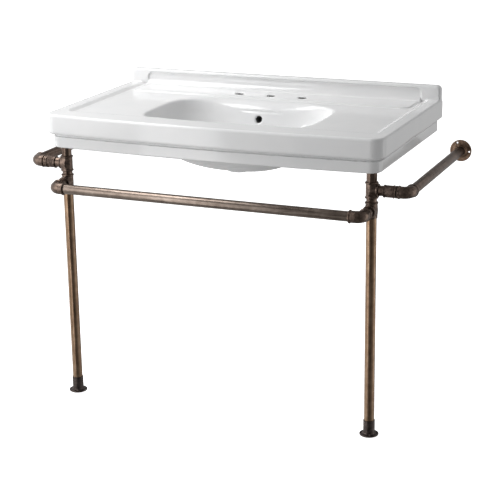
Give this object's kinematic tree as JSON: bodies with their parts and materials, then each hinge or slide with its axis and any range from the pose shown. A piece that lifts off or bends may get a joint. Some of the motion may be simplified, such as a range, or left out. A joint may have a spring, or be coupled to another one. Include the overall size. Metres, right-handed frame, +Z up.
{
  "type": "console sink",
  "caption": "Console sink: a wide glazed ceramic basin with a low splashback on two bronze pipe legs, with a towel bar across the front and an arm from each leg back to the wall.",
  "frame": {"origin": "centre of the basin's flat back, where it meets the wall, 830 mm above the floor", "axes": "+X to the right seen from the front, +Y into the wall, +Z up; the sink faces -Y"},
  "size_m": [1.199, 0.6334, 0.9],
  "materials": {
    "glaze": "glossy white glaze",
    "bronze_pipe": "satin antique bronze, drawn along the pipe",
    "bronze_fitting": "dark aged bronze, slightly mottled",
    "pad_rubber": "matt black rubber"
  },
  "bodies": {
    "sink": {"console_basin": "glaze", "towel_bar": "bronze_pipe", "left_leg_pipe": "bronze_pipe", "left_lower_tee": "bronze_fitting", "left_neck_nipple": "bronze_pipe", "left_upper_tee": "bronze_fitting", "left_top_nipple": "bronze_pipe", "left_top_cap": "bronze_fitting", "left_rubber_pad": "pad_rubber", "left_bar_nipple": "bronze_pipe", "left_bar_elbow": "bronze_fitting", "left_arm_nipple": "bronze_pipe", "left_union_tail": "bronze_fitting", "left_arm_elbow": "bronze_fitting", "left_wall_arm": "bronze_pipe", "left_wall_flange": "bronze_pipe", "right_leg_pipe": "bronze_pipe", "right_lower_tee": "bronze_fitting", "right_neck_nipple": "bronze_pipe", "right_upper_tee": "bronze_fitting", "right_top_nipple": "bronze_pipe", "right_top_cap": "bronze_fitting", "right_rubber_pad": "pad_rubber", "right_bar_nipple": "bronze_pipe", "right_bar_elbow": "bronze_fitting", "right_arm_nipple": "bronze_pipe", "right_union_tail": "bronze_fitting", "right_arm_elbow": "bronze_fitting", "right_wall_arm": "bronze_pipe", "right_wall_flange": "bronze_pipe"},
    "left_foot": {"left_floor_flange": "bronze_fitting"},
    "right_foot": {"right_floor_flange": "bronze_fitting"},
    "left_nut": {"left_union_nut": "bronze_fitting"},
    "right_nut": {"right_union_nut": "bronze_fitting"}
  },
  "joints": [
    {"name": "left_foot_levelling", "type": "slide", "parent": "sink", "child": "left_foot", "axis": [0, 0, 1], "range_m": [-0.012, 0.006]},
    {"name": "right_foot_levelling", "type": "slide", "parent": "sink", "child": "right_foot", "axis": [0, 0, 1], "range_m": [-0.012, 0.006]},
    {"name": "left_union_nut_turn", "type": "hinge", "parent": "sink", "child": "left_nut", "pos_m": [-0.5105, -0.532, -0.1225], "axis": [1, 0, 0], "continuous": true},
    {"name": "right_union_nut_turn", "type": "hinge", "parent": "sink", "child": "right_nut", "pos_m": [0.5105, -0.532, -0.1225], "axis": [1, 0, 0], "continuous": true}
  ]
}
